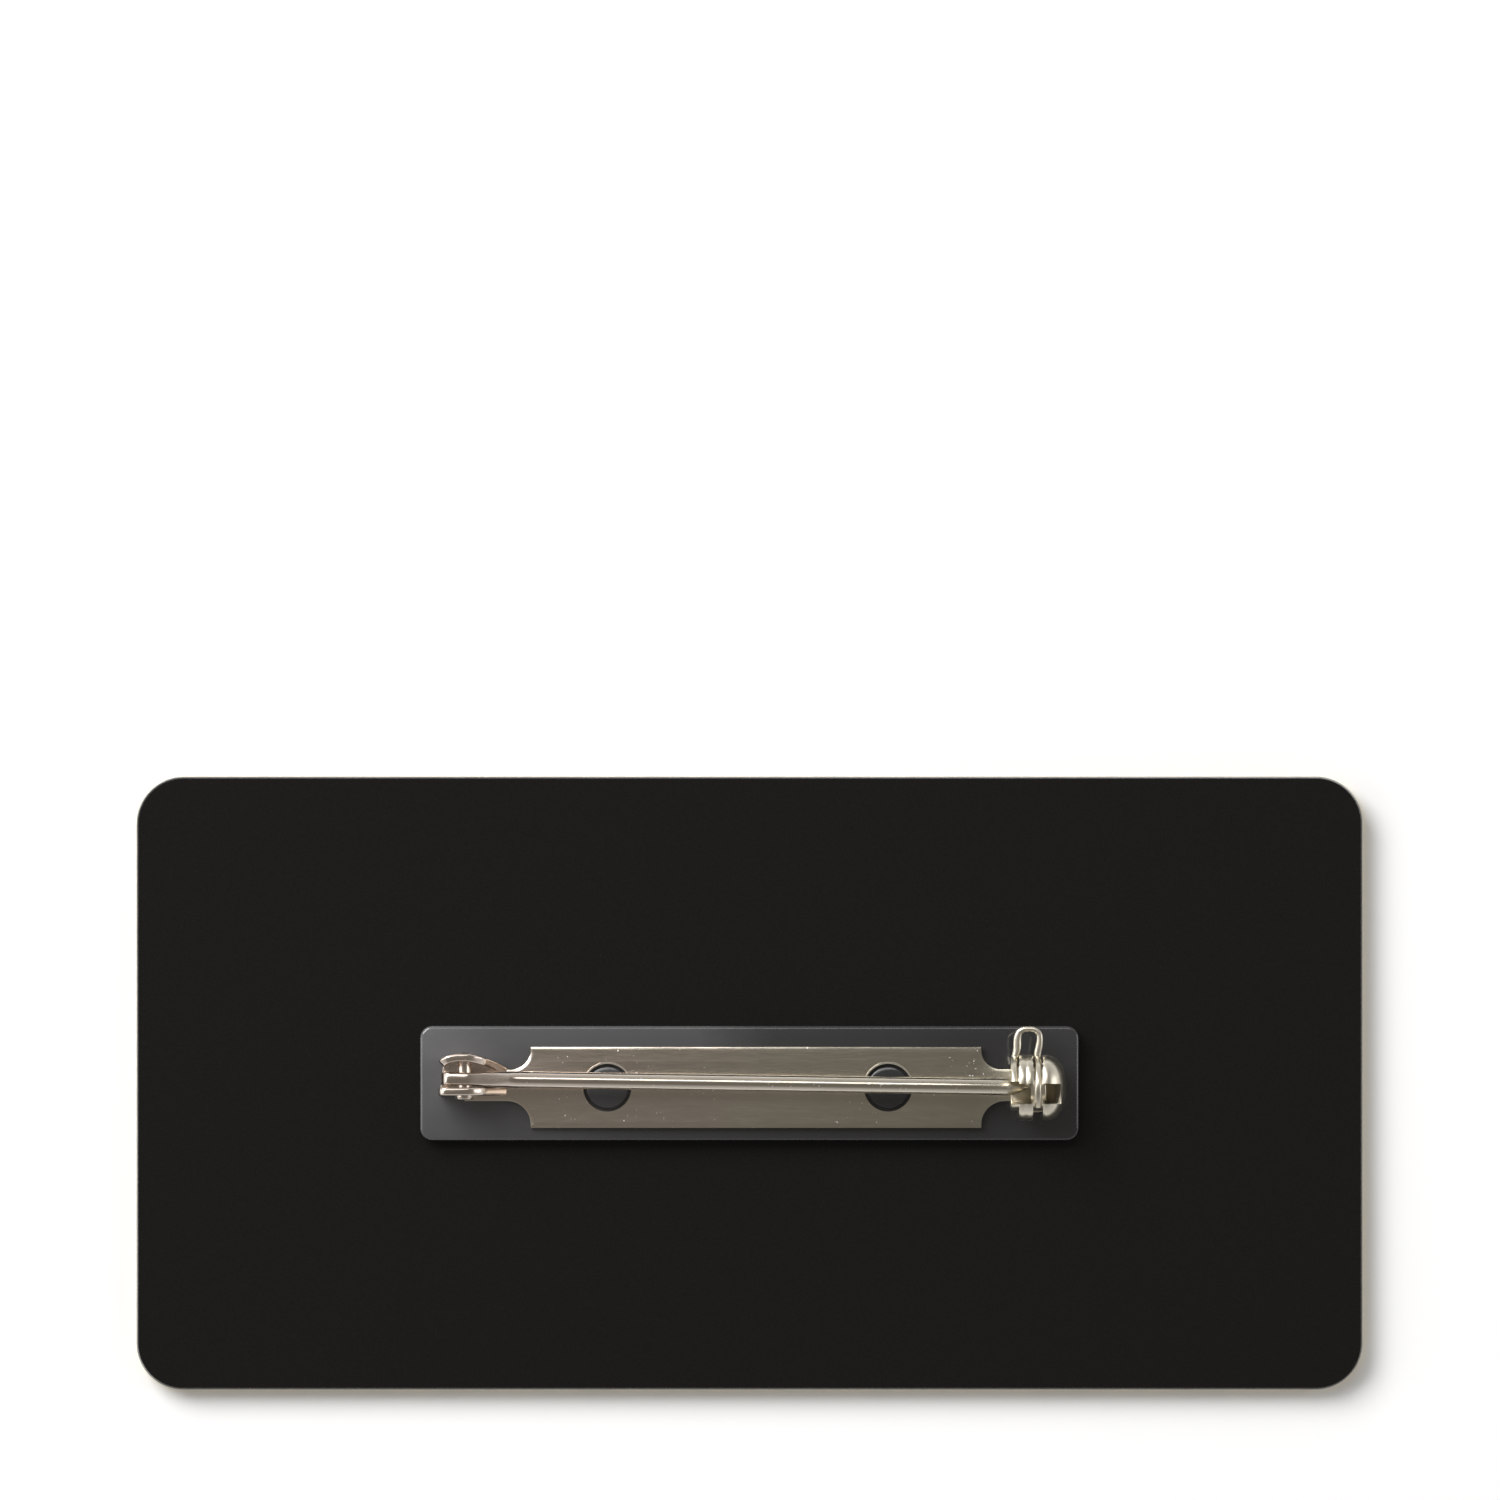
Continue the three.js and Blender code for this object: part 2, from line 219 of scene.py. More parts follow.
# The pin's own frame: millimetres from the middle of the bar, on the pad's top
joint_places = {joint["name"]: Vector(joint["pos_m"]) for joint in frame["joints"]}
pin_place = Vector((BAR_X * MM, joint_places["lock_turn"].y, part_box("pin_bar")[0].z))


def in_pin(place):
    """A place of the badge, in the pin's own frame."""
    return (Vector(place) - pin_place) / MM


hinge = in_pin(joint_places["pin_hinge"])
tip = in_pin(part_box("needle")[1]).x
catch_x = in_pin(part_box("catch_lock")[0]).x
band_x = catch_x + COLLAR_LENGTH + COLLAR_GAP
slit_x = band_x + BAND_LENGTH
dome_x = slit_x + COLLAR_LENGTH + 2 * COLLAR_GAP
bore_radius = BARREL_RADIUS - SHEET
ring_radius = bore_radius - RING_GAP
rim_radius = BARREL_RADIUS - COLLAR_STEP
hole_places = (HOLE_SHIFT - HOLE_SPACING / 2, HOLE_SHIFT + HOLE_SPACING / 2)
ear_left = hinge.x - EAR_RADIUS
ear_right = hinge.x + EAR_TAIL
ear_inside = EYE_THICKNESS / 2 + EYE_GAP
plain_ear_y = hinge.y - ear_inside - SHEET / 2


# Helpers for the nodes of a material

def new_material(name):
    """A material with one principled shader."""
    material = bpy.data.materials.new(name)
    material.use_nodes = True
    tree = material.node_tree
    tree.nodes.clear()
    output = tree.nodes.new("ShaderNodeOutputMaterial")
    shader = tree.nodes.new("ShaderNodeBsdfPrincipled")
    tree.links.new(shader.outputs["BSDF"], output.inputs["Surface"])
    return material, tree, shader


def feed(tree, socket, value):
    """Sets a socket to a value, or links it to another node's socket."""
    if isinstance(value, bpy.types.NodeSocket):
        tree.links.new(value, socket)
    else:
        socket.default_value = value


def add(tree, kind, inputs=None, **settings):
    """A node of a kind, with its settings and inputs."""
    node = tree.nodes.new("ShaderNode" + kind)
    for key, value in settings.items():
        setattr(node, key, value)
    for key, value in (inputs or {}).items():
        feed(tree, node.inputs[key], value)
    return node


def set_inputs(tree, node, **inputs):
    """Sets a shader's sockets, with their names in lower case and _ for a space."""
    sockets = {socket.name.lower().replace(" ", "_"): socket for socket in node.inputs}
    for key, value in inputs.items():
        feed(tree, sockets[key], value)


def coordinates(tree, kind):
    """The X, Y and Z of a kind of texture coordinates."""
    return add(tree, "SeparateXYZ", {"Vector": add(tree, "TexCoord").outputs[kind]}).outputs


def noise(tree, scale, detail, roughness=0.5):
    """Noise in the badge's own frame, with a scale per metre along each axis."""
    where = add(tree, "TexCoord").outputs["Object"]
    scaled = add(tree, "Mapping", {"Vector": where, "Scale": scale}).outputs["Vector"]
    inputs = {"Vector": scaled, "Scale": 1.0, "Detail": detail, "Roughness": roughness}
    return add(tree, "TexNoise", inputs).outputs["Fac"]


def ramp(tree, factor, stops):
    """A colour ramp from a list of (place, colour)."""
    node = add(tree, "ValToRGB", {"Fac": factor})
    elements = node.color_ramp.elements
    while len(elements) < len(stops):
        elements.new(0.5)
    for element, (position, color) in zip(elements, stops):
        element.position = position
        element.color = (*color, 1)
    return node.outputs["Color"]


def span(tree, factor, low, high, start=0.0, end=1.0):
    """A value that runs from low to high as factor runs from start to end."""
    values = {"Value": factor, "From Min": start, "From Max": end, "To Min": low, "To Max": high}
    return add(tree, "MapRange", values).outputs["Result"]


def math_node(tree, operation, first, second):
    node = add(tree, "Math", operation=operation)
    for socket, value in zip(node.inputs, (first, second)):
        feed(tree, socket, value)
    return node.outputs["Value"]


def mixed(tree, factor, first, second):
    """A colour between two, each a colour or a socket."""
    node = add(tree, "Mix", data_type="RGBA")
    sockets = [node.inputs["Factor"], *(socket for socket in node.inputs if socket.type == "RGBA")]
    for socket, value in zip(sockets, (factor, first, second)):
        feed(tree, socket, value)
    return next(socket for socket in node.outputs if socket.type == "RGBA")


def bump(tree, height, distance, strength, normal=None):
    """A bumped normal, on top of another where one is given."""
    inputs = {"Height": height, "Distance": distance, "Strength": strength}
    if normal:
        inputs["Normal"] = normal
    return add(tree, "Bump", inputs).outputs["Normal"]


# Materials. Places and heights are in metres, places from the middle of the badge.

HINGE_TO_CATCH = (-0.020, 0.020)
CATCH_START = (0.0140, 0.0162)
# PAD_MIDDLE is where the pad's painted shade on its lower half blends into its upper half
PAD_MIDDLE = (-0.003, 0.003)

FINE_HEIGHT = 0.000004
PAD_HEIGHT = 0.00003
WAVE_HEIGHT = 0.00006

GOLD = [(0.3, (0.56, 0.41, 0.12)), (0.7, (0.86, 0.68, 0.30))]
BARE_METAL = (0.42, 0.425, 0.42, 1)
BLACK = [(0.3, (0.0046, 0.0042, 0.0036)), (0.7, (0.0057, 0.0052, 0.0045))]
# The pad's colour along its length, above and below its middle: lighter toward the hinge end is a
# painted reflection, darker below is painted shade
PAD_UPPER_PAINTED_REFLECTION = [
    (0.0, (0.15, 0.15, 0.153)), (0.12, (0.105, 0.105, 0.108)), (0.42, (0.090, 0.090, 0.093)),
    (0.56, (0.042, 0.042, 0.043)), (0.85, (0.032, 0.032, 0.033)), (1.0, (0.044, 0.044, 0.045)),
]
PAD_LOWER_PAINTED_SHADE_AND_REFLECTION = [
    (0.0, (0.085, 0.085, 0.087)), (0.14, (0.068, 0.067, 0.069)), (0.32, (0.040, 0.040, 0.041)),
    (0.6, (0.031, 0.031, 0.032)), (0.85, (0.024, 0.024, 0.025)), (1.0, (0.034, 0.034, 0.035)),
]
# The bar's colour from the hinge end to the catch end: a painted reflection, lighter and warmer at the
# hinge end, darker and olive toward the catch
NICKEL = [(0.1, (0.73, 0.63, 0.55)), (0.5, (0.70, 0.64, 0.54)), (0.9, (0.60, 0.56, 0.46))]
CATCH_NICKEL = (0.69, 0.64, 0.53, 1)
SPECK_NICKEL = (0.95, 0.94, 0.90, 1)
FLOOR_WHITE = (0.92, 0.92, 0.92, 1)


def gold_metal():
    """Gold on the face and its edges, bare metal on the side toward the backing."""
    material, tree, shader = new_material("brushed_gold")
    streaks = noise(tree, (420, 11000, 900), 3.0, 0.7)
    fine = noise(tree, (1500, 30000, 2000), 2.0, 0.6)
    bare = span(tree, coordinates(tree, "Normal")["Z"], 0.0, 1.0, start=0.2, end=0.6)
    set_inputs(
        tree, shader,
        base_color=mixed(tree, bare, ramp(tree, streaks, GOLD), BARE_METAL),
        metallic=1.0, anisotropic=0.6,
        roughness=span(tree, streaks, 0.24, 0.42),
        normal=bump(tree, fine, FINE_HEIGHT, 0.5),
    )
    return material


def black_plastic():
    """Smooth satin black with a faint grain."""
    material, tree, shader = new_material("black_plastic")
    grain = noise(tree, (9000, 9000, 9000), 2.0)
    set_inputs(
        tree, shader,
        base_color=ramp(tree, grain, BLACK),
        roughness=span(tree, grain, 0.24, 0.30),
        specular_ior_level=0.26,
        normal=bump(tree, grain, FINE_HEIGHT, 0.1),
    )
    return material


def uneven(tree, along, cloud, amount):
    """A value from 0 at the hinge's end to 1 at the catch's, made uneven by a cloud."""
    even = span(tree, along, 0.0, 1.0, *HINGE_TO_CATCH)
    return math_node(tree, "ADD", even, span(tree, cloud, -amount, amount))


def clear_plastic():
    """Clear and a little smoky, with a painted reflection that lightens it toward the hinge end and
    painted shade that darkens its lower half.
    """
    material, tree, shader = new_material("clear_plastic")
    where = coordinates(tree, "Object")
    cloud = noise(tree, (180, 420, 200), 3.0, 0.6)
    # Painted reflection: the pad's colour lightens toward the hinge end
    along = uneven(tree, where["X"], cloud, 0.08)
    # Painted shade: the lower half of the pad takes the darker colours
    top = span(tree, where["Y"], 0.0, 1.0, *PAD_MIDDLE)
    set_inputs(
        tree, shader,
        base_color=mixed(tree, top, ramp(tree, along, PAD_LOWER_PAINTED_SHADE_AND_REFLECTION), ramp(tree, along, PAD_UPPER_PAINTED_REFLECTION)),
        roughness=0.10, ior=1.49, transmission_weight=0.2, specular_ior_level=0.8,
        normal=bump(tree, cloud, PAD_HEIGHT, 0.25),
    )
    return material


def nickel():
    """Bright plate, a little warm, with fine scratches and specks, duller and paler at the catch. Along
    the bar its colour is a painted reflection, lighter and warmer toward the hinge end and darker and
    olive toward the catch.
    """
    material, tree, shader = new_material("nickel_plate")
    along = coordinates(tree, "Object")["X"]
    cloud = noise(tree, (110, 420, 300), 2.0)
    scratch = noise(tree, (900, 14000, 9000), 3.0, 0.6)
    speck = noise(tree, (5200, 5200, 5200), 1.0)
    sparse = noise(tree, (260, 500, 400), 1.0)
    waves = noise(tree, (300, 700, 500), 2.0)

    catch = span(tree, along, 0.0, 1.0, *CATCH_START)
    # Painted reflection along the bar, lighter and warmer toward the hinge end
    plain = ramp(tree, uneven(tree, along, cloud, 0.3), NICKEL)
    color = mixed(tree, catch, plain, CATCH_NICKEL)

    spots = span(tree, speck, 0.0, 1.0, start=0.71, end=0.80)
    patches = span(tree, sparse, 0.0, 0.8, start=0.42, end=0.57)
    specks = math_node(tree, "MULTIPLY", spots, patches)
    dull_catch = math_node(tree, "MULTIPLY", catch, 0.11)
    dull_specks = math_node(tree, "MULTIPLY", specks, 0.4)
    rough = math_node(tree, "ADD", span(tree, scratch, 0.12, 0.26), dull_catch)
    set_inputs(
        tree, shader,
        base_color=mixed(tree, specks, color, SPECK_NICKEL),
        metallic=1.0,
        roughness=math_node(tree, "ADD", rough, dull_specks),
        normal=bump(tree, scratch, FINE_HEIGHT, 0.3, bump(tree, waves, WAVE_HEIGHT, 0.22)),
    )
    return material


def paper_floor():
    material, tree, shader = new_material("floor")
    set_inputs(tree, shader, base_color=FLOOR_WHITE, roughness=0.9, specular_ior_level=0.1)
    return material


# Shapes. They are built in millimetres, in the pin's own frame.

def arc(centre, radius, start, end, steps=12):
    """Points on an arc, from one angle to the other, in degrees."""
    angles = [math.radians(start + (end - start) * i / steps) for i in range(steps + 1)]
    return [(centre[0] + radius * math.cos(a), centre[1] + radius * math.sin(a)) for a in angles]


def rounded_rectangle(low, high, radius):
    """A rectangle's outline with round corners, counterclockwise."""
    left, bottom = low[0] + radius, low[1] + radius
    right, top = high[0] - radius, high[1] - radius
    points = []
    for i, corner in enumerate([(right, bottom), (right, top), (left, top), (left, bottom)]):
        points += arc(corner, radius, 90 * i - 90, 90 * i, 6)
    return points


def evenly(start, end, steps):
    """Evenly spaced values after start, up to end."""
    return [start + (end - start) * i / steps for i in range(1, steps + 1)]


def smooth(points, steps):
    """A smooth curve through points of any number of values."""
    rows = [Vector(point) for point in points]
    rows = [2 * rows[0] - rows[1], *rows, 2 * rows[-1] - rows[-2]]
    made = []
    for a, b, c, d in zip(rows, rows[1:], rows[2:], rows[3:]):
        square = 2 * a - 5 * b + 4 * c - d
        cube = 3 * b - 3 * c + d - a
        for i in range(steps):
            t = i / steps
            made.append(0.5 * (2 * b + (c - a) * t + square * t**2 + cube * t**3))
    made.append(rows[-2])
    return made


def oval(half_across, half_up, power, steps):
    """A rounded section: an ellipse at power 2, nearer a rectangle above it."""
    points = []
    for i in range(steps):
        angle = 2 * math.pi * i / steps
        c, s = math.cos(angle), math.sin(angle)
        across = half_across * math.copysign(abs(c) ** (2 / power), c)
        up = half_up * math.copysign(abs(s) ** (2 / power), s)
        points.append((across, up))
    return points


def new_object(name, data):
    made = bpy.data.objects.new(name, data)
    bpy.context.scene.collection.objects.link(made)
    return made


def from_bmesh(name, bm):
    bmesh.ops.recalc_face_normals(bm, faces=bm.faces)
    mesh = bpy.data.meshes.new(name)
    bm.to_mesh(mesh)
    bm.free()
    return new_object(name, mesh)


def applied(piece):
    """The piece with its modifiers applied, as a plain mesh."""
    graph = bpy.context.evaluated_depsgraph_get()
    mesh = bpy.data.meshes.new_from_object(piece.evaluated_get(graph))
    name = piece.name
    bpy.data.objects.remove(piece)
    return new_object(name, mesh)


def combine(piece, others, operation="UNION"):
    """Joins the others to the piece, or cuts them out of it."""
    for other in others:
        modifier = piece.modifiers.new("combine", "BOOLEAN")
        modifier.operation = operation
        modifier.solver = "EXACT"
        modifier.object = other
    piece = applied(piece)
    for other in others:
        bpy.data.objects.remove(other)
    return piece


def add_bevel(piece, width, angle):
    """A modifier that rounds the edges sharper than the angle."""
    modifier = piece.modifiers.new("edges", "BEVEL")
    modifier.width = width
    modifier.segments = 3
    modifier.limit_method = "ANGLE"
    modifier.angle_limit = math.radians(angle)


def rounded(piece, width):
    add_bevel(piece, width, ROUND_ANGLE)
    return applied(piece)


def plate(name, outline, low, high, rounding):
    """A flat plate with rounded edges, from its outline in plan."""
    curve = bpy.data.curves.new(name, "CURVE")
    curve.dimensions = "2D"
    curve.fill_mode = "BOTH"
    curve.extrude = (high - low) / 2 - rounding
    curve.bevel_depth = rounding
    curve.bevel_resolution = 3
    curve.offset = -rounding
    spline = curve.splines.new("POLY")
    spline.points.add(len(outline) - 1)
    for point, (x, y) in zip(spline.points, outline):
        point.co = (x, y, 0, 1)
    spline.use_cyclic_u = True
    piece = applied(new_object(name, curve))
    piece.data.transform(Matrix.Translation((0, 0, (low + high) / 2)))
    bm = bmesh.new()
    bm.from_mesh(piece.data)
    bmesh.ops.remove_doubles(bm, verts=bm.verts, dist=CLOSE)
    bmesh.ops.recalc_face_normals(bm, faces=bm.faces)
    bm.to_mesh(piece.data)
    bm.free()
    return piece


def skin(bm, one, two):
    """Faces between two closed rings of points."""
    size = len(one)
    for j in range(size):
        bm.faces.new((one[j], one[(j + 1) % size], two[(j + 1) % size], two[j]))


def turned(name, profile, axis, centre, steps=96, start=0, end=360):
    """A closed profile of (radius, place along the axis), turned about X or Y.

    It goes all round, or through a sector between two angles.
    """
    bm = bmesh.new()
    whole = end - start >= 360
    count = steps if whole else steps + 1
    rings = []
    for i in range(count):
        angle = math.radians(start + (end - start) * i / steps)
        ring = []
        for radius, along in profile:
            side, up = radius * math.cos(angle), radius * math.sin(angle)
            spot = (along, side, up) if axis == "X" else (side, along, up)
            ring.append(bm.verts.new(Vector(spot) + Vector(centre)))
        rings.append(ring)
    for i in range(steps):
        skin(bm, rings[i], rings[(i + 1) % count])
    if not whole:
        bm.faces.new(rings[0])
        bm.faces.new(rings[-1])
    bmesh.ops.remove_doubles(bm, verts=bm.verts, dist=CLOSER)
    bmesh.ops.dissolve_degenerate(bm, edges=bm.edges, dist=CLOSER)
    return from_bmesh(name, bm)


def upright(name, profile, x, steps):
    """A profile of (radius, height), turned about an upright axis at x."""
    piece = turned(name, profile, "Y", (0, 0, 0), steps)
    piece.data.transform(Matrix.Translation((x, 0, 0)) @ Matrix.Rotation(math.pi / 2, 4, "X"))
    return piece


def box(name, low, high):
    """A cutting block."""
    bm = bmesh.new()
    bmesh.ops.create_cube(bm, size=1)
    size = Vector(high) - Vector(low)
    for vert in bm.verts:
        vert.co = Vector(low) + Vector((v + 0.5) * s for v, s in zip(vert.co, size))
    return from_bmesh(name, bm)


def loft(name, rings):
    """A closed skin over rings of points, with flat ends."""
    bm = bmesh.new()
    made = [[bm.verts.new(point) for point in ring] for ring in rings]
    for one, two in zip(made, made[1:]):
        skin(bm, one, two)
    bm.faces.new(made[0])
    bm.faces.new(made[-1])
    return from_bmesh(name, bm)


def along_path(name, path, section):
    """A bar along a path in plan. The section gives (across, up) points for each step of the path."""
    rings = []
    for i, point in enumerate(path):
        before, after = path[max(i - 1, 0)], path[min(i + 1, len(path) - 1)]
        heading = Vector((after[0] - before[0], after[1] - before[1])).normalized()
        side = Vector((-heading.y, heading.x))
        rings.append([(point[0] + side.x * u, point[1] + side.y * u, v) for u, v in section(i, point)])
    return loft(name, rings)


# The pad

def pad_piece():
    """The moulded pad, with a low domed stud in each of the bar's holes."""
    half = Vector((PAD_LENGTH / 2, PAD_WIDTH / 2))
    middle = Vector((-BAR_X, -pin_place.y / MM))
    outline = rounded_rectangle(middle - half, middle + half, PAD_CORNER)
    profile = [
        (0, -PAD_THICKNESS / 2),
        (STUD_RADIUS, -PAD_THICKNESS / 2),
        *arc((STUD_RADIUS - STUD_EDGE, STUD_HEIGHT * STUD_SHOULDER), STUD_EDGE, 0, 80, 4),
        (STUD_RADIUS * STUD_DOME[0], STUD_HEIGHT * STUD_DOME[1]),
        (0, STUD_HEIGHT),
    ]
    slab = plate("clear_base", outline, -PAD_THICKNESS, 0, PAD_EDGE)
    return combine(slab, [upright("stud", profile, x, 96) for x in hole_places])


# The stamped sheet: bar, necks, hinge ears and catch housing

def bar_outline():
    """The bar in plan: its body runs into a neck at each end with a quarter-round."""
    half = BAR_LENGTH / 2
    top = BAR_WIDTH / 2
    neck_top = NECK_SHIFT + NECK_WIDTH / 2
    neck_bottom = NECK_SHIFT - NECK_WIDTH / 2
    upper = top - neck_top - CORNER_LIP
    lower = top + neck_bottom - CORNER_LIP
    return [
        (-half, top),
        *arc((-half - upper, neck_top + upper), upper, 0, -90),
        (hinge.x, neck_top),
        (hinge.x, neck_bottom),
        *arc((-half - lower, neck_bottom - lower), lower, 90, 0),
        (-half, -top),
        (half, -top),
        *arc((half + lower, neck_bottom - lower), lower, 180, 90),
        (dome_x + DOME_WALL, neck_bottom),
        (dome_x + DOME_WALL, neck_top),
        *arc((half + upper, neck_top + upper), upper, -90, -180),
        (half, top),
    ]


def rolled_edges(piece, level):
    """Turns the round upper edges into the shallow slope that a punch leaves, steeper to the left."""
    for vert in piece.data.vertices:
        rise = vert.co.z - (level - BAR_EDGE)
        if rise <= -CLOSE:
            continue
        inward = BAR_EDGE - math.sqrt(max(BAR_EDGE**2 - rise**2, 0))
        slope = (EDGE_DROP - EDGE_TILT * vert.co.x) * (1 - inward / BAR_EDGE) ** EDGE_POWER
        left = max(BAR_ROUNDING - inward, 0)
        vert.co.z = level - slope - BAR_ROUNDING + math.sqrt(max(BAR_ROUNDING**2 - left**2, 0))
    return piece


def hole_tool(x):
    """The punch of a hole."""
    low, high = -SHEET, 2 * SHEET
    return upright("hole", [(0, low), (HOLE_RADIUS, low), (HOLE_RADIUS, high), (0, high)], x, 64)


def hole_lip(x):
    """The fine burr along the upper side of a hole."""
    steps = 32
    start, end = LIP_SWEEP
    middle = HOLE_RADIUS + LIP_OFFSET
    rings = []
    for i in range(steps + 1):
        angle = math.radians(start + (end - start) * i / steps)
        radius = LIP_RADIUS * math.sin(math.pi * i / steps) ** LIP_POWER + LIP_END
        rings.append([
            (x + (middle + u) * math.cos(angle), (middle + u) * math.sin(angle), SHEET - LIP_SINK + v)
            for u, v in oval(radius, radius, 2, 10)
        ])
    return loft("lip", rings)


def ear_top(x, start):
    """The height of an ear: a small corner, a flat top, a large corner and a slope to the neck."""
    top = hinge.z + EAR_RADIUS
    corner = start + EAR_CORNER
    if x <= corner:
        return top - EAR_CORNER + math.sqrt(max(EAR_CORNER**2 - (corner - x) ** 2, 0))
    if x <= hinge.x:
        return top
    drop = SHEET - hinge.z
    touch = math.atan2(drop, EAR_TAIL) + math.acos(EAR_RADIUS / math.hypot(EAR_TAIL, drop))
    touch_x = hinge.x + EAR_RADIUS * math.cos(touch)
    touch_z = hinge.z + EAR_RADIUS * math.sin(touch)
    if x <= touch_x:
        return hinge.z + math.sqrt(max(EAR_RADIUS**2 - (x - hinge.x) ** 2, 0))
    return touch_z + (SHEET - touch_z) * (x - touch_x) / (ear_right - touch_x)


def ear(name, path):
    """A wall along a path in plan, as high as an ear, rounded along its top and thinner at its start."""
    def section(step, point):
        top = max(ear_top(point[0], path[0][0]), SHEET * EAR_LEAST)
        half = SHEET / 2 if step else SHEET * EAR_START_HALF
        edge = EAR_EDGE if step else EAR_EDGE * EAR_START_EDGE
        return [
            (-half, EAR_FOOT),
            (half, EAR_FOOT),
            *arc((half - edge, top - edge), edge, 0, 90, 4),
            *arc((-half + edge, top - edge), edge, 90, 180, 4),
        ]
    return along_path(name, path, section)


def plain_ear_path():
    """The straight ear in plan, with its steps closest together at the left end."""
    steps = 7
    shares = [1 - math.cos(math.pi / 2 * i / steps) for i in range(steps + 1)]
    places = [ear_left, *(ear_left + EAR_LEAD + (EAR_CORNER - EAR_LEAD) * share for share in shares)]
    return [(x, plain_ear_y) for x in places + evenly(hinge.x, ear_right, 12)]


def bulged_ear_path():
    """The other ear in plan, along the middle of its wall."""
    outside = smooth([*((ear_left + x, y) for x, y in BULGE), (ear_right, BULGE_END)], 10)
    shift = SHEET / 2 + pin_place.y / MM
    return [(point.x, point.y - shift) for point in outside]


def stamped_bar():
    """Bar, necks, hinge ears and catch housing: one stamped and rolled sheet."""
    bar = rolled_edges(plate("stamped_bar", bar_outline(), 0, SHEET, BAR_EDGE), SHEET)
    bar = combine(bar, [hole_tool(x) for x in hole_places], "DIFFERENCE")
    bar = combine(bar, [hole_lip(x) for x in hole_places])
    bulged = bulged_ear_path()
    outline = [
        (ear_left + HINGE_FLOOR_INSET, plain_ear_y),
        (ear_right - HINGE_FLOOR_INSET, plain_ear_y),
        *((x, y + HINGE_FLOOR_LAP) for x, y in reversed(bulged[HINGE_FLOOR_SKIP:-HINGE_FLOOR_SKIP])),
    ]
    floor = plate("hinge_floor", outline, HINGE_FLOOR_SINK, SHEET - HINGE_FLOOR_SINK, HINGE_FLOOR_EDGE)
    ears = [ear("plain_ear", plain_ear_path()), ear("bulged_ear", bulged)]
    return combine(bar, [floor, *ears, catch_housing()])


def bead(start, end, foot):
    """A rounded ridge in a turned profile."""
    steps = 6
    made = []
    for i in range(steps + 1):
        share = i / steps
        rise = BEAD_RISE * math.sin(math.pi * share) ** BEAD_POWER
        made.append((foot + rise, start + (end - start) * share))
    return made


def dome_curve(radius, length):
    """A dome's profile from its rim to its top."""
    steps = 16
    made = []
    for i in range(steps):
        angle = math.pi / 2 * i / steps
        radial, along = math.cos(angle) ** (2 / DOME_POWER), math.sin(angle) ** (2 / DOME_POWER)
        made.append((radius * radial, dome_x + length * along))
    return [*made, (0, dome_x + length)]


def push_out(vert):
    """Moves a point of the round housing, away from its axis, out to the fuller section."""
    out = math.hypot(vert.co.y, vert.co.z)
    if out > bore_radius * BARREL_CORE:
        across, up = abs(vert.co.y) / out, abs(vert.co.z) / out
        stretch = (across**BARREL_POWER + up**BARREL_POWER) ** (-1 / BARREL_POWER)
        vert.co.y, vert.co.z = vert.co.y * stretch, vert.co.z * stretch


def catch_housing():
    """A band of two beads, a slit for the ring's collar and a hollow dome with a slot for the needle."""
    foot = BARREL_RADIUS - BEAD_RISE
    middle = band_x + BAND_LENGTH / 2
    profile = [
        (bore_radius, band_x),
        *bead(band_x, middle - BEAD_GAP / 2, foot),
        *bead(middle + BEAD_GAP / 2, slit_x, foot),
        (foot, (slit_x + dome_x) / 2),
        (BARREL_RADIUS - DOME_STEP, dome_x),
        *dome_curve(BARREL_RADIUS, DOME_LENGTH)[1:],
        *reversed(dome_curve(bore_radius, DOME_LENGTH - DOME_WALL)),
    ]
    shell = turned("housing", profile, "X", (0, 0, 0))
    for vert in shell.data.vertices:
        push_out(vert)
    shell.data.transform(Matrix.Translation((0, 0, hinge.z)))
    reach = BARREL_RADIUS + SHEET
    slot_end = dome_x + DOME_LENGTH - SLOT_RIM
    slit = box("slit", (slit_x, -reach, SHEET), (dome_x, reach, hinge.z + reach))
    slot = box(
        "slot", (catch_x, SLOT_SHIFT - SLOT_HALF, hinge.z),
        (slot_end, SLOT_SHIFT + SLOT_HALF, hinge.z + reach),
    )
    return rounded(combine(shell, [slit, slot], "DIFFERENCE"), HOUSING_EDGE)


# The ring, the needle and the rivet

def collar(name, start, steps, sweep_end):
    """A thin rim that goes part of the way round the ring, up to an angle."""
    middle = ring_radius - RING_WALL / 2
    profile = rounded_rectangle((middle, start), (rim_radius, start + COLLAR_LENGTH), COLLAR_EDGE)
    return turned(name, profile, "X", (0, 0, hinge.z), steps, -COLLAR_SWEEP, sweep_end)


def turning_ring():
    """A tube with a gap for the needle, and two collars that carry the loop-shaped lever."""
    tube_low = (ring_radius - RING_WALL, catch_x)
    tube_high = (ring_radius, dome_x + RING_TAIL)
    profile = rounded_rectangle(tube_low, tube_high, RING_EDGE)
    tube = turned("turning_ring", profile, "X", (0, 0, hinge.z))
    gap = box(
        "gap", (catch_x - CUT_PAST, SLOT_SHIFT - GAP_HALF, hinge.z),
        (catch_x + GAP_LENGTH, SLOT_SHIFT + GAP_HALF, hinge.z + BARREL_RADIUS + CUT_PAST),
    )
    near = collar("near_collar", catch_x, 48, 90)
    far = collar("far_collar", dome_x - COLLAR_GAP - COLLAR_LENGTH, 60, 90 + COLLAR_SWEEP)
    ring = rounded(combine(combine(tube, [near]), [gap], "DIFFERENCE"), GAP_EDGE)
    return combine(ring, [far, lever_loop()])


def lever_loop():
    """The lever: a loop of flattened wire, its far leg leaning in toward the foot."""
    path = smooth([(catch_x + x, y, width) for x, y, width in LEVER_PATH], 6)

    def section(_, point):
        outline = oval(point[2] / 2, LEVER_THICKNESS / 2, LEVER_POWER, 20)
        return [(u, hinge.z + v) for u, v in outline]
    return along_path("lever", path, section)


